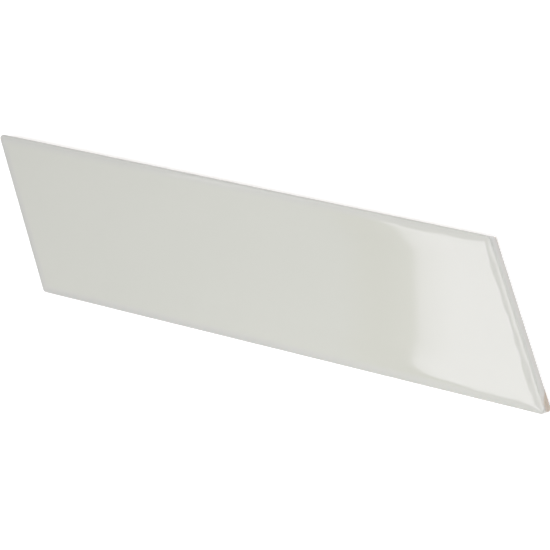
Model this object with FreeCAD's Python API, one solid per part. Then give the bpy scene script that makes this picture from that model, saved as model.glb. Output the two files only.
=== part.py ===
import FreeCAD, Part
import math
import os

# Chevron wall tile: one pressed, glazed and fired piece with a parallelogram face.
# Millimetres. X runs along the long edges, Y across the tile, Z up through its thickness.
# The origin is the middle of the back. The back lies on z = 0 and the glazed face is up.

# Face and thickness
tile_length = 186.0  # along a long edge
tile_width = 52.0  # square across, from long edge to long edge
tile_thickness = 9.0
end_angle = 60.0  # degrees between a long edge and an end edge

# Edge of the glazed face
roll_reach = 3.5  # how far in from the side the flat of the face ends
roll_radius = 17.0  # gentle roll-over between the flat and the arris
arris_radius = 0.9  # tight rounding between the roll-over and the side
acute_corner_core = 0.4  # plan radius of an acute corner, inside its arris
obtuse_corner_core = 0.3  # plan radius of an obtuse corner, inside its arris
back_break = 0.3  # bevel round the edge of the back

# Key on the back: shallow pockets with raised ribs between them, for the adhesive
key_rows = 3
key_columns = 10
key_depth = 0.7
key_border = 4.0  # unbroken land round the pockets
rib_width = 2.0
key_corner_radius = 1.2
key_floor_bevel = 0.3  # where the walls of a pocket meet its floor

# Shapes that only cut or trim run past the tile
trim_margin = 1.0
trim_factor = 1.5  # a corner's trimming block reaches this many times as far as the corner

# Worked out from the sizes above
angle = math.radians(end_angle)
half_width = tile_width / 2
end_span = tile_length * math.sin(angle)  # square across, from end edge to end edge
along_long = FreeCAD.Vector(1, 0, 0)
along_end = FreeCAD.Vector(-math.cos(angle), math.sin(angle), 0)
up = FreeCAD.Vector(0, 0, 1)


def skew(along, across, height=0.0):
    """Turn distances along the length and square across it into a point of the leaning grid."""
    return FreeCAD.Vector(along - across / math.tan(angle), across, height)


def turned(lean):
    """Unit direction in the XZ plane that leans from straight up towards +X."""
    return FreeCAD.Vector(math.sin(lean), 0, math.cos(lean))


def across_axis(point):
    """The same point on the other side of the section."""
    return FreeCAD.Vector(-point.x, point.y, point.z)


def edge_section(span):
    """Section between two opposite sides, upright in the XZ plane and centred on X = 0."""
    half = span / 2
    centre_gap = roll_radius - arris_radius
    lean = math.asin((roll_reach - arris_radius) / centre_gap)
    roll_centre = FreeCAD.Vector(half - roll_reach, 0, tile_thickness - roll_radius)
    arris_centre = roll_centre + turned(lean) * centre_gap
    face_end = roll_centre + up * roll_radius
    roll_middle = roll_centre + turned(lean / 2) * roll_radius
    roll_end = roll_centre + turned(lean) * roll_radius
    arris_middle = arris_centre + turned((lean + math.pi / 2) / 2) * arris_radius
    side_top = arris_centre + turned(math.pi / 2) * arris_radius
    side_foot = FreeCAD.Vector(half, 0, back_break)
    back_end = FreeCAD.Vector(half - back_break, 0, 0)

    right = [
        Part.LineSegment(back_end, side_foot),
        Part.LineSegment(side_foot, side_top),
        Part.Arc(side_top, arris_middle, roll_end),
        Part.Arc(roll_end, roll_middle, face_end),
    ]
    right_edges = [curve.toShape() for curve in right]
    left_edges = [edge.mirror(FreeCAD.Vector(0, 0, 0), along_long) for edge in right_edges]
    face_edge = Part.LineSegment(face_end, across_axis(face_end)).toShape()
    back_edge = Part.LineSegment(back_end, across_axis(back_end)).toShape()
    edges = Part.__sortEdges__(right_edges + left_edges + [face_edge, back_edge])
    return Part.Face(Part.Wire(edges))


def bar(span, run, direction):
    """The section of a pair of opposite sides, drawn out along those sides."""
    section = edge_section(span)
    turn = math.degrees(math.atan2(-direction.x, direction.y))
    section.rotate(FreeCAD.Vector(0, 0, 0), up, turn)
    section.translate(direction * (-run / 2))
    return section.extrude(direction * run)


def sharp_tile():
    """The tile before its plan corners are rounded: two crossed bars share this volume."""
    run = 2 * (tile_length + tile_width / math.sin(angle))
    lengthwise = bar(tile_width, run, along_long)
    endwise = bar(end_span, run, along_end)
    return lengthwise.common(endwise)


def flat_face(points):
    """Flat face with straight edges through the points."""
    return Part.Face(Part.makePolygon(points + points[:1]))


def corner_post(plan_radius, centre):
    """The edge section turned about the upright axis of one rounded corner."""
    section = edge_section(tile_width)
    axis_x = half_width - plan_radius
    strip_corner = FreeCAD.Vector(axis_x, -trim_margin, 0)
    strip = Part.makeBox(plan_radius, 2 * trim_margin, tile_thickness, strip_corner)
    rim = section.common(strip)
    rim.translate(FreeCAD.Vector(-axis_x, 0, 0))
    post = rim.revolve(FreeCAD.Vector(0, 0, 0), up, 360)
    if centre.x > 0:
        post.rotate(FreeCAD.Vector(0, 0, 0), up, 180)  # the seam faces the middle of the tile
    post.translate(centre)
    return post


def corner_wedge(corner, centre, side_feet):
    """Upright block that takes in all of one sharp corner, out to a little past it."""
    outside = centre + (corner - centre) * trim_factor
    reach = [centre + (foot - centre) * trim_factor for foot in side_feet]
    outline = flat_face([centre, reach[0], outside, reach[1]])
    outline.translate(up * -trim_margin)
    return outline.extrude(up * (tile_thickness + 2 * trim_margin))


def corners():
    """For each plan corner: the corner point, its plan radius and the middle of its arc."""
    found = []
    for end in (-1, 1):
        for side in (-1, 1):
            corner = skew(end * tile_length / 2, side * half_width)
            acute = end != side
            core = acute_corner_core if acute else obtuse_corner_core
            radius = core + arris_radius
            centre = skew(
                end * (tile_length / 2 - radius / math.sin(angle)),
                side * (half_width - radius),
            )
            end_normal = FreeCAD.Vector(math.sin(angle), math.cos(angle), 0) * end
            side_normal = FreeCAD.Vector(0, side, 0)
            side_feet = [centre + end_normal * radius, centre + side_normal * radius]
            found.append((corner, radius, centre, side_feet))
    return found


def tile_blank():
    """The pressed tile with its rolled face edge and rounded corners, the back still plain."""
    blank = sharp_tile()
    for corner, radius, centre, side_feet in corners():
        wedge = corner_wedge(corner, centre, side_feet)
        post = corner_post(radius, centre)
        blank = blank.cut(wedge).fuse(post.common(wedge))
    return blank.removeSplitter()


def key_pocket(length, width):
    """One pocket, open at the back, its upright edges rounded and its floor edge bevelled."""
    corners_around = ((-1, -1), (1, -1), (1, 1), (-1, 1))
    mouth = flat_face([skew(end * length / 2, side * width / 2) for end, side in corners_around])
    block = mouth.extrude(up * key_depth)
    upright = [edge for edge in block.Edges if edge.BoundBox.ZLength > key_depth / 2]
    pocket = block.makeFillet(key_corner_radius, upright)
    floor_rim = [edge for edge in pocket.Edges if edge.BoundBox.ZMin > key_depth / 2]
    return pocket.makeChamfer(key_floor_bevel, floor_rim)


def key_pockets():
    """All the pockets of the back, in rows and columns that lean with the end edges."""
    lean_rib = rib_width / math.sin(angle)
    lean_border = key_border / math.sin(angle)
    row_pitch = (tile_width - 2 * key_border + rib_width) / key_rows
    column_pitch = (tile_length - 2 * lean_border + lean_rib) / key_columns
    pocket = key_pocket(column_pitch - lean_rib, row_pitch - rib_width)
    pockets = []
    for row in range(key_rows):
        for column in range(key_columns):
            along = (column - (key_columns - 1) / 2) * column_pitch
            across = (row - (key_rows - 1) / 2) * row_pitch
            copy = pocket.copy()
            copy.translate(skew(along, across))
            pockets.append(copy)
    return pockets


def tile():
    """The whole tile as one solid."""
    return tile_blank().cut(key_pockets()).Solids[0]


os.makedirs("parts", exist_ok=True)
part = tile()
part.exportStep("parts/tile.step")
box = part.BoundBox
lengths = [round(length, 3) for length in (box.XLength, box.YLength, box.ZLength)]
print("tile", part.isValid(), round(part.Volume), lengths)
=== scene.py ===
import math

import bpy
from mathutils import Matrix, Vector, noise


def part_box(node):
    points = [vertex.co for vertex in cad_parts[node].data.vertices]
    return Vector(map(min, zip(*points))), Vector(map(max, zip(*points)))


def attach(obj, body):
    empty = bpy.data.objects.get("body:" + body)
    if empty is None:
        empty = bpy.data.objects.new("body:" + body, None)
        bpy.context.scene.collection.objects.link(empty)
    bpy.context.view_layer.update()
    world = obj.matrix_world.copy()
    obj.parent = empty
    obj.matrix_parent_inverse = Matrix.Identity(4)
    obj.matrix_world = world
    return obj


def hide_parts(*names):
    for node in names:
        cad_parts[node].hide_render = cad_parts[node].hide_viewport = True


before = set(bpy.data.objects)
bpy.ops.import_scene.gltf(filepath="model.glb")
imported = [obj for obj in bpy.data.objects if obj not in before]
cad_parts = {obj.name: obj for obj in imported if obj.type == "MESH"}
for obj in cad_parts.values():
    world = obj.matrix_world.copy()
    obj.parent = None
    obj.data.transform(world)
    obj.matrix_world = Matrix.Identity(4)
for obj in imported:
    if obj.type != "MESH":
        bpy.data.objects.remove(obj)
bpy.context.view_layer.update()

# The tile, in millimetres. X runs along the long edges, the back lies on z = 0.
MM = 0.001
low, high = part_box("tile")
WIDTH = (high.y - low.y) / MM
THICKNESS = (high.z - low.z) / MM
LENGTH = 186.0
ANGLE = math.radians(60.0)

# Its sides, in this order wherever they are listed, and how far each lies from the middle
NEAR, FAR, LEFT, RIGHT = range(4)
SIDE_NORMALS = (
    Vector((0, -1, 0)),
    Vector((0, 1, 0)),
    Vector((-math.sin(ANGLE), -math.cos(ANGLE), 0)),
    Vector((math.sin(ANGLE), math.cos(ANGLE), 0)),
)
HALF_END_SPAN = LENGTH / 2 * math.sin(ANGLE)
HALF_SPANS = (WIDTH / 2, WIDTH / 2, HALF_END_SPAN, HALF_END_SPAN)

# Edge of the glazed face, from its flat middle outwards. The CAD part has no cushion, so the roll
# reaches a little less far in here
FACE_GRID_INSET = 10.6  # where the grid of points on the flat ends
CUSHION_REACH = 10.0
CUSHION_RADIUS = 190.0
ROLL_REACH = 3.2
ROLL_RADIUS = 17.0
ARRIS_RADIUS = 0.9
ACUTE_RADIUS = 1.3
OBTUSE_RADIUS = 1.2
BACK_BREAK = 0.3
BACK_LAND = 3 * BACK_BREAK  # inset of the first ring on the flat of the back

# Plan rounding of the ridge where the rolls of two sides meet, and how it grows with the inset
RIDGE_RADIUS = 0.5
RIDGE_GROWTH = 0.35

# Key on the back
KEY_ROWS = 3
KEY_COLUMNS = 10
KEY_DEPTH = 0.7
KEY_BORDER = 4.0
RIB_WIDTH = 2.0
KEY_CORNER_RADIUS = 1.2
KEY_FLOOR_BEVEL = 0.3
KEY_DRAFT = 0.25
RIB_EDGE = 0.15
ROUND_SHARE = 0.3  # of a rounded edge's size, at its middle ring

# Mesh density
CELL_STEPS_LONG = 20
CELL_STEPS_WIDE = 18
CORNER_EASE = 1.7  # power by which the steps crowd towards the corners of the tile
CUSHION_STEPS = 8
ROLL_STEPS = 12
ARRIS_STEPS = 10
SIDE_STEPS = 10
BREAK_STEPS = 3
SHORTEST_ARC = 1e-9  # stands in for the arc of a sharp corner

# Unevenness of the glaze and of the fired body. A noise has its lengths in x and y and a seed
FACE_WAVE = 0.010
FACE_NOISE = (34.0, 21.0, 3.1)
ROLL_SWELL = 0.060
SWELL_NOISE = (19.0, 13.0, 7.7)
ROLL_RIPPLE = 0.060
RIGHT_RIPPLE = 0.100  # added on the right end, where the rim in the photo is the least even
RIPPLE_NOISE = (4.2, 3.6, 9.2)
SIDE_WAVE = 0.05
SIDE_WAVE_LENGTH = 12.0
SIDE_WAVE_HEIGHT = 8.0
SIDE_SEED_STEP = 11.0  # between the noises of two sides
BACK_WAVE = 0.04
BACK_NOISE = (5.0, 5.0, 2.4)

# Where it acts, as insets from the sides unless said otherwise
FACE_EDGE = 0.2  # points nearer to a side than this don't move with the face
FACE_ZONE = 1.5  # height below the top of the face within which points move with it
FACE_WAVE_FULL = 4.0
ROLL_WAVE_FULL = 1.4
BAND_FULL = 1.8  # the band of the roll fades from here to the roll's reach
SIDE_WAVE_REACH = 1.2
BACK_ZONE = 0.1  # height over the floors of the pockets that still belongs to the back

# Lower limit of the glaze on the sides, as heights over the back
SIDE_ZONE = 0.35  # points within this inset lie on a side
BARE_DEPTH = 3.0  # a cover of minus this stands for no glaze
LIMIT = 0.3
LIMIT_WAVE = 1.6
LIMIT_NOISE = (14.0, 14.0, 1.3)
RIGHT_LIMIT = -0.7
RIGHT_LIMIT_WAVE = 0.6
RIGHT_LIMIT_NOISE = (9.0, 9.0, 1.3)

# How much higher the limit lies at the two corners of the right end, and from where to where
# that fades with the distance from the corner
NEAR_BARE = 7.4
NEAR_BARE_FADE = (3.5, 9.0)
FAR_BARE = 1.1
FAR_BARE_FADE = (1.5, 9.0)

# Where the glaze has drawn thin, and where shade is painted into its colour on the near, far and left
# rims: each pair is the inset where that is strongest and where it ends
NEAR_RIM_THIN_AND_SHADE = (0.2, 3.0)
FAR_RIM_THIN_AND_SHADE = (0.2, 4.0)
FAR_RIM_SHADE_SHARE = 0.55
LEFT_RIM_THIN_AND_SHADE = (0.0, 2.8)
THIN_RIGHT_RIM = (0.2, 1.2)
THIN_CORNER = (3.0, 9.0)  # distances from the far right corner, for the right rim
RIM_SHADE_LEFT_PART = (-20.0, 90.0)  # places in x, for the near and far rims

# Colours of the glaze and of the body, and how far the special ones go
GLAZE_TONES = ((0.648, 0.657, 0.603), (0.656, 0.664, 0.610))
EDGE_GLAZE = (0.655, 0.656, 0.621)
EDGE_GLAZE_SHARE = 0.7
# Darker glaze: partly glaze drawn thin over the body, partly painted shade on the rims
THIN_AND_SHADED_GLAZE = (0.610, 0.612, 0.588)
LOW_GLAZE = (0.66, 0.58, 0.55)
LOW_GLAZE_SHARE = 0.4
LOW_GLAZE_START = 8.0  # height over the limit where the glaze starts to turn redder
LOW_GLAZE_FULL = 0.5
BODY_TONES = ((0.63, 0.535, 0.44), (0.77, 0.675, 0.58))

# Patterns of the material: scale per metre and detail. A spread is half the width of a change of tone
GLAZE_PATTERN = (28.0, 3.0)
GLAZE_SPREAD = 0.15
BODY_PATTERN = (1500.0, 6.0)
BODY_SPREAD = 0.2
RAGGED_PATTERN = (700.0, 4.0)
RAGGED_HEIGHT = 1.2  # how far its pattern shifts the end of the glaze
RAGGED_EDGE = (0.35, 0.85)  # levels at which the bare body and the full glaze begin
FINE_WAVE_PATTERN = (420.0, 0.0)

# Surface of the glaze and of the body, with the heights of its bumps
GLAZE_ROUGHNESS = 0.022
BODY_ROUGHNESS = 0.85
GLAZE_IOR = 1.5
GRAIN_HEIGHT = 0.2  # on the bare body
GRAIN_STRENGTH = 0.6
FINE_WAVE_HEIGHT = 0.03  # on the glaze of the roll

# Camera, found from the outline of the tile in the photograph
CAMERA_AT = Vector((213.10, 41.68, 531.57))
CAMERA_LOOK = Vector((-0.36388, -0.07686, -0.92827))
CAMERA_UP = Vector((-0.20774, 0.97818, 0.00044))
FOCAL_PIXELS = 1671.0
FRAME_PIXELS = 550
SENSOR_MM = 36.0

# Levels of the world and of the floor: what lights the tile, and what shows where they are seen
WORLD_LIT = 0.485
WORLD_SEEN = 1.0
FLOOR_COLOUR = 0.80
FLOOR_SEEN_BOOST = 0.48
FLOOR_HALF = 3000.0

# Soft box over the tile, in a level plane, found from its mirror image in the photograph.
# Its left and right limits run through (y, x), its far and near limits through (x, y)
BOX_HEIGHT = 1500.0
BOX_LEFT = (
    (-290.0, -366.0), (-268.0, -371.5), (-246.0, -374.0), (-195.0, -372.0), (-165.0, -368.5),
    (-50.0, -398.0), (40.0, -419.0), (170.0, -462.0),
)
BOX_RIGHT = (
    (-540.0, 0.0), (-190.0, -98.0), (-120.0, -60.0), (-60.0, -62.0), (0.0, -102.0),
    (160.0, -158.0),
)
BOX_FAR = (
    (-450.0, 215.0), (-428.0, 168.0), (-390.0, 180.0), (-350.0, 188.0), (-280.0, 198.0),
    (-170.0, 225.0),
)
BOX_NEAR = (
    (-370.0, -272.0), (-361.0, -294.0), (-345.0, -311.0), (-298.0, -315.0), (-283.0, -335.0),
    (-200.0, -376.0), (-140.0, -470.0),
)
BOX_RADIANCE = Vector((4.4, 4.2, 4.6))
BOX_STEPS = (270, 240)

# Half the width over which its light falls off at its limits. Towards the left, over these
# stretches of x, the near and the far limit are crisper than the rest
BOX_EDGE_FALL = 55.0
BOX_NEAR_FALL = 5.0
BOX_NEAR_CRISP = (-280.0, -300.0)
BOX_FAR_FALL = 25.0
BOX_FAR_CRISP = (-350.0, -400.0)

# How its light rises across its left limit: share of the light, start and end of each rise.
# It is crisper past these stretches of y, at the two ends of that limit
BOX_LEFT_RISES = ((0.10, -45.0, -10.0), (0.60, -12.0, 10.0), (0.30, 2.0, 56.0))
BOX_CORNER_RISES = ((0.16, -13.0, -4.0), (0.42, -1.8, 1.8), (0.19, 1.5, 7.0), (0.23, 8.0, 42.0))
NEAR_CORNER = (-180.0, -195.0)
FAR_CORNER = (50.0, 90.0)

# Darker, warm lip along its left limit: how far out it is full and ends, there and at its near end
LIP_COLOUR = Vector((0.66, 0.60, 0.36))
LIP_FULL = 60.0
LIP_END = 112.0
LIP_NEAR_FULL = 90.0
LIP_NEAR_END = 220.0

# Lamps: place, point that they face, size and radiance
RIGHT_END = (97.0, -7.0, 9.0)
FILL_PANEL_AT = (64.0, -60.0, 360.0)
FILL_PANEL_AIM = (64.0, -60.0, 0.0)
FILL_PANEL_SIZE = (200.0, 200.0)
FILL_PANEL_RADIANCE = 3.28
RIGHT_PANEL_AT = (478.0, 245.0, 783.0)
RIGHT_PANEL_SIZE = (260.0, 800.0)
RIGHT_PANEL_RADIANCE = 2.05
LOW_PANEL_AT = (802.0, 408.0, 389.0)
LOW_PANEL_SIZE = (400.0, 650.0)
LOW_PANEL_RADIANCE = 2.5
FAR_STRIP_AT = (-420.0, 350.0, 1000.0)
FAR_STRIP_AIM = (0.0, 0.0, 0.0)
FAR_STRIP_SIZE = (330.0, 50.0)
FAR_STRIP_RADIANCE = 1.8


def leaning(along, across):
    """Point of the tile from distances along its length and square across it."""
    return Vector((along - across / math.tan(ANGLE), across, 0.0))


def smooth(t):
    """Smooth step of a value clamped between 0 and 1."""
    t = min(1.0, max(0.0, t))
    return t * t * (3 - 2 * t)


def ramp(value, start, end):
    """Smooth step of a value from 0 at start to 1 at end."""
    return smooth((value - start) / (end - start))


def fade(value, full, gone):
    """Smooth step of a value from 1 at full to 0 at gone."""
    return 1 - ramp(value, full, gone)


def rotated(direction, turn):
    """A flat direction turned anticlockwise about the upright axis."""
    return Vector((
        direction.x * math.cos(turn) - direction.y * math.sin(turn),
        direction.x * math.sin(turn) + direction.y * math.cos(turn),
        0.0,
    ))


def eased_steps(count, ease_start, ease_end):
    """Steps from 0 to 1 that crowd towards an eased end."""
    steps = []
    for index in range(count + 1):
        t = index / count
        if ease_start:
            t = t ** CORNER_EASE
        elif ease_end:
            t = 1 - (1 - t) ** CORNER_EASE
        steps.append(t)
    return steps


def side_fractions(cells, steps):
    """Fractions along a side of the tile: as many in every key cell, crowded at both ends."""
    fractions = [0.0]
    for cell in range(cells):
        for t in eased_steps(steps, cell == 0, cell == cells - 1)[1:]:
            fractions.append((cell + t) / cells)
    return fractions


LONG_FRACTIONS = side_fractions(KEY_COLUMNS, CELL_STEPS_LONG)
WIDE_FRACTIONS = side_fractions(KEY_ROWS, CELL_STEPS_WIDE)


def corner_arc(corner, to_before, to_after, radius):
    """Sizes of the arc that rounds one corner of an outline walked anticlockwise."""
    half_angle = to_before.angle(to_after) / 2
    half_turn = math.pi / 2 - half_angle
    middle = (to_before + to_after).normalized()
    return {
        "centre": corner + middle * (radius / math.sin(half_angle)),
        "radius": radius,
        "inset": radius / math.tan(half_angle),
        "half_turn": half_turn,
        "half_length": max(radius * half_turn, SHORTEST_ARC),
        "enter": rotated(-to_before, -math.pi / 2),
        "leave": rotated(to_after, -math.pi / 2),
    }


def side_point(corner_a, corner_b, arc_a, arc_b, fraction):
    """Point on one side of a rounded outline, between the middles of the arcs at its ends."""
    side = corner_b - corner_a
    straight = side.length - arc_a["inset"] - arc_b["inset"]
    total = arc_a["half_length"] + straight + arc_b["half_length"]
    reach = fraction * total
    if reach < arc_a["half_length"]:
        turn = arc_a["half_turn"] * (1 - reach / arc_a["half_length"])
        return arc_a["centre"] + rotated(arc_a["leave"], -turn) * arc_a["radius"]
    if reach > total - arc_b["half_length"]:
        turn = arc_b["half_turn"] * (1 - (total - reach) / arc_b["half_length"])
        return arc_b["centre"] + rotated(arc_b["enter"], turn) * arc_b["radius"]
    return corner_a + side.normalized() * (arc_a["inset"] + reach - arc_a["half_length"])


def rounded_outline(corners, radii, fraction_lists):
    """Points of a closed outline with rounded corners, side by side from the first corner."""
    count = len(corners)
    arcs = []
    for index, corner in enumerate(corners):
        to_before = (corners[index - 1] - corner).normalized()
        to_after = (corners[(index + 1) % count] - corner).normalized()
        arcs.append(corner_arc(corner, to_before, to_after, radii[index]))
    points = []
    for side in range(count):
        following = (side + 1) % count
        for fraction in fraction_lists[side][:-1]:
            points.append(side_point(
                corners[side], corners[following], arcs[side], arcs[following], fraction))
    return points


def parallelogram(half_long, half_wide, centre=(0.0, 0.0)):
    """Corners from the near left, anticlockwise, of a leaning cell."""
    signs = ((-1, -1), (1, -1), (1, 1), (-1, 1))
    return [
        leaning(centre[0] + end * half_long, centre[1] + side * half_wide)
        for end, side in signs
    ]


def ring_fractions(long_fractions, wide_fractions):
    """Fractions for the four sides of an anticlockwise ring."""
    back_long = [1 - t for t in reversed(long_fractions)]
    back_wide = [1 - t for t in reversed(wide_fractions)]
    return [long_fractions, wide_fractions, back_long, back_wide]


def face_arcs():
    """Radius, first lean, last lean and steps of each arc from the flat of the face to the side."""
    cushion_sine = (CUSHION_REACH - ROLL_REACH) / CUSHION_RADIUS
    cushion_lean = math.asin(cushion_sine)
    roll_run = ROLL_REACH - ARRIS_RADIUS + ROLL_RADIUS * cushion_sine
    roll_lean = math.asin(roll_run / (ROLL_RADIUS - ARRIS_RADIUS))
    return (
        (CUSHION_RADIUS, 0.0, cushion_lean, CUSHION_STEPS),
        (ROLL_RADIUS, cushion_lean, roll_lean, ROLL_STEPS),
        (ARRIS_RADIUS, roll_lean, math.pi / 2, ARRIS_STEPS),
    )


def section_points():
    """(inset, height) of every ring, from the flat of the face down the side to the back."""
    inset, z = CUSHION_REACH, THICKNESS
    points = [(FACE_GRID_INSET, z), (inset, z)]
    for radius, first, last, steps in face_arcs():
        centre_inset = inset + radius * math.sin(first)
        centre_z = z - radius * math.cos(first)
        for index in range(1, steps + 1):
            lean = first + (last - first) * index / steps
            inset = centre_inset - radius * math.sin(lean)
            z = centre_z + radius * math.cos(lean)
            points.append((inset, z))
    side_top = z
    for index in range(1, SIDE_STEPS + 1):
        points.append((0.0, side_top + (BACK_BREAK - side_top) * index / SIDE_STEPS))
    for index in range(1, BREAK_STEPS + 1):
        turn = math.pi / 2 * index / BREAK_STEPS
        points.append((BACK_BREAK * (1 - math.cos(turn)), BACK_BREAK * (1 - math.sin(turn))))
    points.append((BACK_LAND, 0.0))
    return points


class Builder:
    """Collects the points and faces of one mesh."""

    def __init__(self):
        self.points = []
        self.faces = []

    def add(self, points):
        """Add points and return their indices."""
        start = len(self.points)
        self.points.extend(points)
        return list(range(start, len(self.points)))

    def bridge(self, ring_a, ring_b):
        """Closed band of quads from ring a to ring b."""
        count = len(ring_a)
        for index in range(count):
            following = (index + 1) % count
            self.faces.append((ring_a[index], ring_b[index], ring_b[following], ring_a[following]))

    def grid(self, rows, flip):
        """Quads over rows of point indices."""
        for lower, upper in zip(rows, rows[1:]):
            for index in range(len(lower) - 1):
                quad = (lower[index], lower[index + 1], upper[index + 1], upper[index])
                self.faces.append(quad[::-1] if flip else quad)

    def fill_ring(self, ring, long_fractions, wide_fractions, flip):
        """Fill a four-sided ring with points blended between its opposite sides."""
        near, right, far, left = ring_rows(ring, len(long_fractions) - 1, len(wide_fractions) - 1)
        at = self.points
        rows = [near]
        for j in range(1, len(wide_fractions) - 1):
            v = wide_fractions[j]
            inner = []
            for i in range(1, len(long_fractions) - 1):
                u = long_fractions[i]
                lengthwise = at[near[i]].lerp(at[far[i]], v)
                crosswise = at[left[j]].lerp(at[right[j]], u)
                near_end = at[near[0]].lerp(at[near[-1]], u)
                far_end = at[far[0]].lerp(at[far[-1]], u)
                inner.append(lengthwise + crosswise - near_end.lerp(far_end, v))
            rows.append([left[j]] + self.add(inner) + [right[j]])
        rows.append(far)
        self.grid(rows, flip)


def ring_rows(ring, long_count, wide_count):
    """The four sides of a ring as lists that share their corner points."""
    near = ring[0:long_count + 1]
    right = ring[long_count:long_count + wide_count + 1]
    far = ring[long_count + wide_count:2 * long_count + wide_count + 1]
    left = ring[2 * long_count + wide_count:] + ring[:1]
    return near, right, far[::-1], left[::-1]


def corner_radius(plan_radius, inset, z):
    """Plan radius of one corner of a ring: on the upper half at least that of the ridge."""
    own = max(plan_radius - inset, 0.0)
    if z < THICKNESS / 2:
        return own
    return max(own, RIDGE_RADIUS + RIDGE_GROWTH * inset)


def outline_at(inset, z):
    """One ring of the tile at an inset from its sides."""
    corners = parallelogram(LENGTH / 2 - inset / math.sin(ANGLE), WIDTH / 2 - inset)
    plan_radii = (OBTUSE_RADIUS, ACUTE_RADIUS, OBTUSE_RADIUS, ACUTE_RADIUS)
    radii = [corner_radius(radius, inset, z) for radius in plan_radii]
    points = rounded_outline(corners, radii, ring_fractions(LONG_FRACTIONS, WIDE_FRACTIONS))
    return [Vector((point.x, point.y, z)) for point in points]


def build_face_and_sides(builder):
    """Glazed face, roll, arris, sides and the break to the back. Returns the last ring."""
    previous = None
    for inset, z in section_points():
        ring = builder.add(outline_at(inset, z))
        if previous is None:
            builder.fill_ring(ring, LONG_FRACTIONS, WIDE_FRACTIONS, False)
        else:
            builder.bridge(previous, ring)
        previous = ring
    return previous


def build_back(builder, outer_ring):
    """Border, ribs and pockets of the back."""
    field_inset = KEY_BORDER - RIB_WIDTH / 2
    half_long = LENGTH / 2 - field_inset / math.sin(ANGLE)
    half_wide = WIDTH / 2 - field_inset
    long_count = len(LONG_FRACTIONS) - 1
    wide_count = len(WIDE_FRACTIONS) - 1
    corners = parallelogram(half_long, half_wide)
    fractions = ring_fractions(LONG_FRACTIONS, WIDE_FRACTIONS)
    field_ring = builder.add(rounded_outline(corners, [0.0] * 4, fractions))
    builder.bridge(outer_ring, field_ring)
    near, right, far, left = ring_rows(field_ring, long_count, wide_count)

    # Points on the middles of the ribs, shared by the cells on both sides
    lattice = {}
    for i in range(long_count + 1):
        lattice[i, 0] = near[i]
        lattice[i, wide_count] = far[i]
    for j in range(wide_count + 1):
        lattice[0, j] = left[j]
        lattice[long_count, j] = right[j]

    def lattice_point(i, j):
        if (i, j) not in lattice:
            along = (2 * LONG_FRACTIONS[i] - 1) * half_long
            across = (2 * WIDE_FRACTIONS[j] - 1) * half_wide
            lattice[i, j] = builder.add([leaning(along, across)])[0]
        return lattice[i, j]

    for row in range(KEY_ROWS):
        for column in range(KEY_COLUMNS):
            build_pocket(builder, lattice_point, row, column, half_long, half_wide)


def build_pocket(builder, lattice_point, row, column, field_half_long, field_half_wide):
    """One pocket of the key, from the middles of the ribs round it down to its floor."""
    i0, i1 = column * CELL_STEPS_LONG, (column + 1) * CELL_STEPS_LONG
    j0, j1 = row * CELL_STEPS_WIDE, (row + 1) * CELL_STEPS_WIDE
    cell_ring = [lattice_point(i, j0) for i in range(i0, i1)]
    cell_ring += [lattice_point(i1, j) for j in range(j0, j1)]
    cell_ring += [lattice_point(i, j1) for i in range(i1, i0, -1)]
    cell_ring += [lattice_point(i0, j) for j in range(j1, j0, -1)]

    half_long = field_half_long / KEY_COLUMNS
    half_wide = field_half_wide / KEY_ROWS
    centre = (
        (2 * column + 1) * half_long - field_half_long,
        (2 * row + 1) * half_wide - field_half_wide,
    )
    long_fractions = cell_fractions(LONG_FRACTIONS, i0, i1)
    wide_fractions = cell_fractions(WIDE_FRACTIONS, j0, j1)
    fractions = ring_fractions(long_fractions, wide_fractions)

    previous = cell_ring
    for inset, radius, z in pocket_section():
        lean_inset = inset / math.sin(ANGLE)
        corners = parallelogram(half_long - lean_inset, half_wide - inset, centre)
        outline = rounded_outline(corners, [radius] * 4, fractions)
        ring = builder.add([Vector((point.x, point.y, z)) for point in outline])
        builder.bridge(previous, ring)
        previous = ring
    builder.fill_ring(previous, long_fractions, wide_fractions, True)


def pocket_section():
    """(inset from the rib's middle, corner radius, height) of the rings down into a pocket."""
    mouth = RIB_WIDTH / 2
    foot = mouth + KEY_DRAFT
    foot_radius = KEY_CORNER_RADIUS - KEY_DRAFT
    bevel = KEY_FLOOR_BEVEL
    small_edge = RIB_EDGE * ROUND_SHARE
    small_bevel = bevel * ROUND_SHARE
    return (
        (mouth - RIB_EDGE, KEY_CORNER_RADIUS + RIB_EDGE, 0.0),
        (mouth - small_edge, KEY_CORNER_RADIUS + small_edge, small_edge),
        (mouth, KEY_CORNER_RADIUS, RIB_EDGE),
        (foot, foot_radius, KEY_DEPTH - bevel),
        (foot + small_bevel, foot_radius, KEY_DEPTH - small_bevel),
        (foot + bevel, foot_radius, KEY_DEPTH),
        (foot + KEY_CORNER_RADIUS, foot_radius, KEY_DEPTH),
    )


def cell_fractions(fractions, start, end):
    """The fractions of one cell, from 0 to 1."""
    a, b = fractions[start], fractions[end]
    return [(t - a) / (b - a) for t in fractions[start:end + 1]]


def side_distances(point):
    """Square distances of a point in from the near, far, left and right sides."""
    return [half - point.dot(normal) for half, normal in zip(HALF_SPANS, SIDE_NORMALS)]


def corner_distance(point, end, side):
    """Distance in plan from a corner. End is 1 at the right, side is 1 at the far side."""
    corner = leaning(end * LENGTH / 2, side * WIDTH / 2)
    return math.hypot(point.x - corner.x, point.y - corner.y)


def noise_at(point, wave_x, wave_y, seed):
    """Smooth noise from 0 to 1, 0.5 on the whole, that changes over the given lengths."""
    return 0.5 + 0.5 * noise.noise(Vector((point.x / wave_x, point.y / wave_y, seed)))


def roll_band(inset):
    """1 over the rolled edge of the face, fading to 0 where the roll ends."""
    return fade(inset, BAND_FULL, ROLL_REACH)


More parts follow.
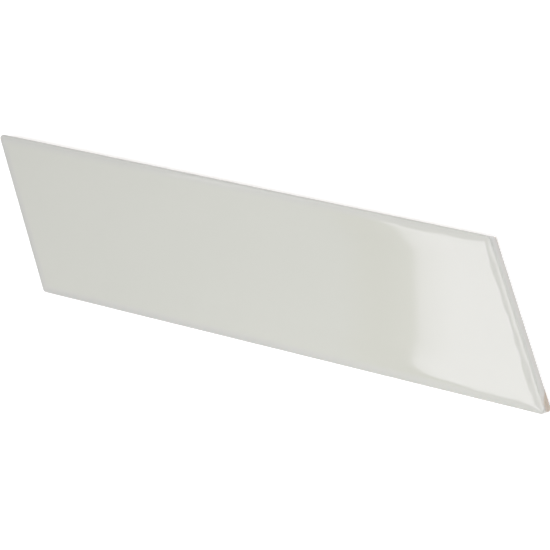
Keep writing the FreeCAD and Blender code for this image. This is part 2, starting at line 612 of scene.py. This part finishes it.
def face_drop(point, inset):
    """How far the glaze lies below the true form of the face. Less than 0 where it swells up."""
    rolled = ramp(inset, FACE_EDGE, ROLL_WAVE_FULL) * roll_band(inset)
    swell = ROLL_SWELL * (noise_at(point, *SWELL_NOISE) - 0.5)
    right_end = roll_band(side_distances(point)[RIGHT])
    ripple = (ROLL_RIPPLE + RIGHT_RIPPLE * right_end) * (noise_at(point, *RIPPLE_NOISE) - 0.5)
    wave = FACE_WAVE * noise_at(point, *FACE_NOISE) * ramp(inset, 0.0, FACE_WAVE_FULL)
    return max(wave + (swell + ripple) * rolled, point.z - THICKNESS)


def relief(point):
    """Small unevenness of the glaze and of the fired body.

    The sides and the back only move inwards. The face never rises above the tile's thickness.
    """
    distances = side_distances(point)
    inset = min(distances)
    moved = Vector()
    if point.z > THICKNESS - FACE_ZONE and inset > FACE_EDGE:
        moved.z -= face_drop(point, inset)
    if point.z < KEY_DEPTH + BACK_ZONE and inset > BACK_BREAK:
        moved.z += BACK_WAVE * noise_at(point, *BACK_NOISE)
    for side, distance in enumerate(distances):
        share = fade(distance, 0.0, SIDE_WAVE_REACH)
        if share > 0:
            seed = SIDE_SEED_STEP * side + point.z / SIDE_WAVE_HEIGHT
            wave = noise_at(point, SIDE_WAVE_LENGTH, SIDE_WAVE_LENGTH, seed)
            moved -= SIDE_NORMALS[side] * SIDE_WAVE * share * wave
    return moved


def glaze_limit(point, on_right_side):
    """Height over the back at which the glaze on a side ends."""
    if not on_right_side:
        return LIMIT + LIMIT_WAVE * noise_at(point, *LIMIT_NOISE)
    limit = RIGHT_LIMIT + RIGHT_LIMIT_WAVE * noise_at(point, *RIGHT_LIMIT_NOISE)
    limit += NEAR_BARE * fade(corner_distance(point, 1, -1), *NEAR_BARE_FADE)
    limit += FAR_BARE * fade(corner_distance(point, 1, 1), *FAR_BARE_FADE)
    return limit


def glaze_cover(point):
    """How far a point lies above the lower limit of the glaze, in millimetres."""
    distances = side_distances(point)
    if min(distances) > SIDE_ZONE:
        return THICKNESS if point.z > THICKNESS / 2 else -BARE_DEPTH
    return max(-BARE_DEPTH, point.z - glaze_limit(point, distances[RIGHT] < SIDE_ZONE))


def glaze_thin(point):
    """How much the glaze has drawn thin and how much shade is painted on its rims: up to 1 at the
    rims and the far right corner, else 0.
    """
    distances = side_distances(point)
    if point.z < THICKNESS / 2 and min(distances) > BACK_BREAK:
        return 0.0
    # The near and far rims only get their painted shade on the left, less lit part of the tile
    left_part = fade(point.x, *RIM_SHADE_LEFT_PART)
    near_rim = fade(distances[NEAR], *NEAR_RIM_THIN_AND_SHADE) * left_part
    far_rim = FAR_RIM_SHADE_SHARE * fade(distances[FAR], *FAR_RIM_THIN_AND_SHADE) * left_part
    left_rim = fade(distances[LEFT], *LEFT_RIM_THIN_AND_SHADE)
    by_corner = fade(corner_distance(point, 1, 1), *THIN_CORNER)
    right_rim = by_corner * fade(distances[RIGHT], *THIN_RIGHT_RIM)
    return max(near_rim, far_rim, left_rim, right_rim)


def edge_band(point):
    """The band of the roll round the whole face."""
    return roll_band(min(side_distances(point)))


def link_object(name, data):
    """New object in the scene."""
    thing = bpy.data.objects.new(name, data)
    bpy.context.scene.collection.objects.link(thing)
    return thing


def make_tile():
    """The glazed tile, with what its material has to know stored at its points."""
    builder = Builder()
    last_ring = build_face_and_sides(builder)
    build_back(builder, last_ring)
    mesh = bpy.data.meshes.new("glazed_tile")
    placed = [(point + relief(point)) * MM for point in builder.points]
    mesh.from_pydata(placed, [], builder.faces)
    measures = (("glaze_cover", glaze_cover), ("glaze_thin", glaze_thin), ("edge_band", edge_band))
    for name, measure in measures:
        layer = mesh.attributes.new(name, "FLOAT", "POINT")
        layer.data.foreach_set("value", [measure(point) for point in builder.points])
    mesh.validate()
    mesh.shade_smooth()
    mesh.materials.append(tile_material())
    tile = link_object("glazed_tile", mesh)
    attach(tile, "root")
    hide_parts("tile")


def new_material(name):
    """Material with nodes, and its tree."""
    material = bpy.data.materials.new(name)
    material.use_nodes = True
    return material, material.node_tree


def bare_material(name):
    """Material with an output alone, its tree and the input for its surface."""
    material, tree = new_material(name)
    tree.nodes.clear()
    output = tree.nodes.new("ShaderNodeOutputMaterial")
    return material, tree, output.inputs["Surface"]


def add_node(tree, kind, **values):
    """New shader node. A value named in_Scale goes to the input socket Scale."""
    node = tree.nodes.new(kind)
    for key, value in values.items():
        if key.startswith("in_"):
            node.inputs[key[3:].replace("_", " ")].default_value = value
        else:
            setattr(node, key, value)
    return node


def attribute(tree, name):
    """Value stored at the points of the mesh."""
    return add_node(tree, "ShaderNodeAttribute", attribute_name=name).outputs["Fac"]


def pattern(tree, where, scale, detail):
    """Value of a noise in the object's own space."""
    node = add_node(tree, "ShaderNodeTexNoise", in_Scale=scale, in_Detail=detail)
    tree.links.new(where, node.inputs["Vector"])
    return node.outputs["Fac"]


def two_tone(tree, value, tones, spread):
    """Two tones that change over into each other round the middle of a value."""
    node = add_node(tree, "ShaderNodeValToRGB")
    places = (0.5 - spread, 0.5 + spread)
    for element, place, tone in zip(node.color_ramp.elements, places, tones):
        element.position = place
        element.color = (*tone, 1)
    tree.links.new(value, node.inputs["Fac"])
    return node.outputs["Color"]


def map_range(tree, value, **limits):
    """A value mapped from one range to another, both 0 to 1 unless said otherwise."""
    node = add_node(tree, "ShaderNodeMapRange", **limits)
    tree.links.new(value, node.inputs["Value"])
    return node.outputs["Result"]


def mixed(tree, factor, colour_a, colour_b):
    """Colour a where the factor is 0, colour b where it is 1."""
    node = add_node(tree, "ShaderNodeMix", data_type="RGBA")
    for socket, source in (("Factor", factor), ("A", colour_a), ("B", colour_b)):
        if isinstance(source, tuple):
            node.inputs[socket].default_value = (*source, 1)
        else:
            tree.links.new(source, node.inputs[socket])
    return node.outputs["Result"]


def math_node(tree, operation, *values):
    """Math node whose inputs are numbers or other nodes' outputs."""
    node = add_node(tree, "ShaderNodeMath", operation=operation)
    for index, value in enumerate(values):
        if isinstance(value, (int, float)):
            node.inputs[index].default_value = value
        else:
            tree.links.new(value, node.inputs[index])
    return node.outputs[0]


def bumped(tree, value, height, strength=1.0):
    """Bump node for a value that stands for a height in millimetres."""
    node = add_node(tree, "ShaderNodeBump", in_Strength=strength, in_Distance=height * MM)
    tree.links.new(value, node.inputs["Height"])
    return node


def glazed_share(tree, where, cover):
    """1 on the glaze and 0 on the bare body, with a ragged edge between them."""
    ragged = pattern(tree, where, *RAGGED_PATTERN)
    level = math_node(tree, "MULTIPLY_ADD", ragged, RAGGED_HEIGHT, cover)
    return map_range(tree, level, in_From_Min=RAGGED_EDGE[0], in_From_Max=RAGGED_EDGE[1])


def glaze_colour(tree, where, cover, band):
    """Off-white that changes on the roll, on the rims with thin glaze and painted shade, and above
    its lower limit.
    """
    colour = two_tone(tree, pattern(tree, where, *GLAZE_PATTERN), GLAZE_TONES, GLAZE_SPREAD)
    on_edge = math_node(tree, "MULTIPLY", band, EDGE_GLAZE_SHARE)
    colour = mixed(tree, on_edge, colour, EDGE_GLAZE)
    # Darker on the rims: partly glaze drawn thin over the body, partly painted shade where the rims
    # lean from the light
    colour = mixed(tree, attribute(tree, "glaze_thin"), colour, THIN_AND_SHADED_GLAZE)
    low_down = map_range(
        tree, cover, in_From_Min=LOW_GLAZE_START, in_From_Max=LOW_GLAZE_FULL,
        in_To_Max=LOW_GLAZE_SHARE)
    return mixed(tree, low_down, colour, LOW_GLAZE)


def surface_normal(tree, where, glazed, band, body_pattern):
    """Grain of the bare body and fine waves of the glaze on the roll."""
    bare = math_node(tree, "SUBTRACT", 1.0, glazed)
    grain = math_node(tree, "MULTIPLY", body_pattern, bare)
    grain_bump = bumped(tree, grain, GRAIN_HEIGHT, GRAIN_STRENGTH)
    fine_wave = math_node(tree, "SUBTRACT", pattern(tree, where, *FINE_WAVE_PATTERN), 0.5)
    wave_bump = bumped(tree, math_node(tree, "MULTIPLY", fine_wave, band), FINE_WAVE_HEIGHT)
    tree.links.new(grain_bump.outputs["Normal"], wave_bump.inputs["Normal"])
    return wave_bump.outputs["Normal"]


def tile_material():
    """Glossy off-white glaze over a bare tan body, parted where the glaze ends."""
    material, tree = new_material("glaze_on_body")
    shader = tree.nodes["Principled BSDF"]
    where = tree.nodes.new("ShaderNodeTexCoord").outputs["Object"]
    cover = attribute(tree, "glaze_cover")
    band = attribute(tree, "edge_band")
    glazed = glazed_share(tree, where, cover)
    body_pattern = pattern(tree, where, *BODY_PATTERN)
    body = two_tone(tree, body_pattern, BODY_TONES, BODY_SPREAD)
    colour = mixed(tree, glazed, body, glaze_colour(tree, where, cover, band))
    roughness = map_range(tree, glazed, in_To_Min=BODY_ROUGHNESS, in_To_Max=GLAZE_ROUGHNESS)
    normal = surface_normal(tree, where, glazed, band, body_pattern)
    tree.links.new(colour, shader.inputs["Base Color"])
    tree.links.new(roughness, shader.inputs["Roughness"])
    tree.links.new(normal, shader.inputs["Normal"])
    shader.inputs["IOR"].default_value = GLAZE_IOR
    return material


def seen_directly(tree):
    """1 for rays that show a background: from the camera, from gloss and through glass."""
    path = tree.nodes.new("ShaderNodeLightPath")
    camera_or_gloss = math_node(
        tree, "MAXIMUM", path.outputs["Is Camera Ray"], path.outputs["Is Glossy Ray"])
    return math_node(tree, "MAXIMUM", camera_or_gloss, path.outputs["Is Transmission Ray"])


def floor_material():
    """Pale floor that shows white where it is seen, and keeps the shadow."""
    material, tree, surface = bare_material("pale_floor")
    diffuse = add_node(tree, "ShaderNodeBsdfDiffuse", in_Color=(FLOOR_COLOUR,) * 3 + (1,))
    glow = tree.nodes.new("ShaderNodeEmission")
    strength = math_node(tree, "MULTIPLY", seen_directly(tree), FLOOR_SEEN_BOOST)
    tree.links.new(strength, glow.inputs["Strength"])
    both = tree.nodes.new("ShaderNodeAddShader")
    tree.links.new(diffuse.outputs[0], both.inputs[0])
    tree.links.new(glow.outputs[0], both.inputs[1])
    tree.links.new(both.outputs[0], surface)
    return material


def make_floor():
    """Square floor that the tile lies on."""
    half = FLOOR_HALF * MM
    corners = [(-half, -half, 0), (half, -half, 0), (half, half, 0), (-half, half, 0)]
    mesh = bpy.data.meshes.new("floor")
    mesh.from_pydata(corners, [], [(0, 1, 2, 3)])
    mesh.materials.append(floor_material())
    link_object("floor", mesh)


def make_world():
    """Even soft light from all round, white where it is seen."""
    world = bpy.data.worlds.new("studio")
    bpy.context.scene.world = world
    world.use_nodes = True
    tree = world.node_tree
    background = tree.nodes["Background"]
    background.inputs["Color"].default_value = (1.0, 1.0, 1.0, 1)
    strength = map_range(tree, seen_directly(tree), in_To_Min=WORLD_LIT, in_To_Max=WORLD_SEEN)
    tree.links.new(strength, background.inputs["Strength"])


def limit_at(line, place):
    """Height of an open line of (place, limit) points, level past its ends."""
    if place <= line[0][0]:
        return line[0][1]
    for (start, low_limit), (end, high_limit) in zip(line, line[1:]):
        if place <= end:
            return low_limit + (high_limit - low_limit) * (place - start) / (end - start)
    return line[-1][1]


def rises_at(rises, place):
    """Share of the light reached at a place by rises of (share, start, end)."""
    return sum(share * ramp(place, start, end) for share, start, end in rises)


def fall_at(x, crisp_fall, crisp_stretch):
    """Half the width of the fall of the light at the near or far limit, at a place in x."""
    return BOX_EDGE_FALL + (crisp_fall - BOX_EDGE_FALL) * ramp(x, *crisp_stretch)


def box_radiance(x, y):
    """Light of the soft box, and of its lip on the left, at a point of its plane."""
    left = x - limit_at(BOX_LEFT, y)
    right = limit_at(BOX_RIGHT, y) - x
    far = limit_at(BOX_FAR, x) - y
    near = y - limit_at(BOX_NEAR, x)
    near_fall = fall_at(x, BOX_NEAR_FALL, BOX_NEAR_CRISP)
    far_fall = fall_at(x, BOX_FAR_FALL, BOX_FAR_CRISP)
    near_share = ramp(near, -near_fall, near_fall)
    far_share = ramp(far, -far_fall, far_fall)
    right_share = ramp(right, -BOX_EDGE_FALL, BOX_EDGE_FALL)
    corner = ramp(y, *NEAR_CORNER) + ramp(y, *FAR_CORNER)
    rise = rises_at(BOX_LEFT_RISES, left) * (1 - corner) + rises_at(BOX_CORNER_RISES, left) * corner
    glow = rise * right_share * far_share * near_share
    lip = ramp(left, -LIP_END, -LIP_FULL) * fade(left, 0.0, LIP_FULL)
    lip *= far_share * ramp(near, -LIP_NEAR_END, -LIP_NEAR_FULL)
    return Vector((WORLD_SEEN,) * 3).lerp(LIP_COLOUR, lip).lerp(BOX_RADIANCE, glow)


def box_material():
    """Light whose colour is stored at the points of the mesh."""
    material, tree, surface = bare_material("box_light")
    light = add_node(tree, "ShaderNodeAttribute", attribute_name="radiance")
    glow = add_node(tree, "ShaderNodeEmission", in_Strength=1.0)
    tree.links.new(light.outputs["Color"], glow.inputs["Color"])
    tree.links.new(glow.outputs[0], surface)
    return material


def make_overhead_box():
    """Soft box over the tile whose mirror image lies on the right third of the face."""
    x_low = min(x for y, x in BOX_LEFT) - LIP_END
    x_high = max(x for y, x in BOX_RIGHT) + BOX_EDGE_FALL
    y_low = min(y for x, y in BOX_NEAR) - LIP_FULL
    y_high = max(y for x, y in BOX_FAR) + BOX_EDGE_FALL
    builder = Builder()
    rows = []
    colours = []
    for j in range(BOX_STEPS[1] + 1):
        y = y_low + (y_high - y_low) * j / BOX_STEPS[1]
        row = []
        for i in range(BOX_STEPS[0] + 1):
            x = x_low + (x_high - x_low) * i / BOX_STEPS[0]
            row.append(Vector((x, y, BOX_HEIGHT)))
            colours.extend((*box_radiance(x, y), 1.0))
        rows.append(builder.add(row))
    builder.grid(rows, False)
    mesh = bpy.data.meshes.new("overhead_box")
    mesh.from_pydata([point * MM for point in builder.points], [], builder.faces)
    layer = mesh.attributes.new("radiance", "FLOAT_COLOR", "POINT")
    layer.data.foreach_set("color", colours)
    mesh.materials.append(box_material())
    box = link_object("overhead_box", mesh)
    box.visible_camera = False


def make_lamp(name, at, aim, size, radiance):
    """Rectangular lamp at a point, facing another, both in millimetres."""
    data = bpy.data.lights.new(name, "AREA")
    data.shape = "RECTANGLE"
    data.size = size[0] * MM
    data.size_y = size[1] * MM
    data.energy = radiance * math.pi * data.size * data.size_y
    lamp = link_object(name, data)
    facing = Vector(aim) - Vector(at)
    lamp.location = Vector(at) * MM
    lamp.rotation_mode = "QUATERNION"
    lamp.rotation_quaternion = facing.to_track_quat("-Z", "Y")
    lamp.visible_camera = False
    return lamp


def make_lamps():
    """A fill without a mirror image, two panels that the right rim mirrors and a far strip.

    The low panel only shows as a mirror image, and lights nothing else.
    """
    fill = make_lamp(
        "fill_panel", FILL_PANEL_AT, FILL_PANEL_AIM, FILL_PANEL_SIZE, FILL_PANEL_RADIANCE)
    fill.visible_glossy = False
    make_lamp("right_panel", RIGHT_PANEL_AT, RIGHT_END, RIGHT_PANEL_SIZE, RIGHT_PANEL_RADIANCE)
    low_panel = make_lamp(
        "low_panel", LOW_PANEL_AT, RIGHT_END, LOW_PANEL_SIZE, LOW_PANEL_RADIANCE)
    low_panel.visible_diffuse = False
    make_lamp("far_strip", FAR_STRIP_AT, FAR_STRIP_AIM, FAR_STRIP_SIZE, FAR_STRIP_RADIANCE)


def make_camera():
    """Camera of the photograph."""
    data = bpy.data.cameras.new("camera")
    data.sensor_width = SENSOR_MM
    data.lens = FOCAL_PIXELS / FRAME_PIXELS * SENSOR_MM
    camera = link_object("camera", data)
    look = CAMERA_LOOK.normalized()
    right = look.cross(CAMERA_UP).normalized()
    basis = Matrix((right, right.cross(look), -look)).transposed()
    camera.matrix_world = Matrix.Translation(CAMERA_AT * MM) @ basis.to_4x4()
    bpy.context.scene.camera = camera


make_tile()
make_floor()
make_world()
make_overhead_box()
make_lamps()
make_camera()
bpy.context.scene.view_settings.view_transform = "Standard"
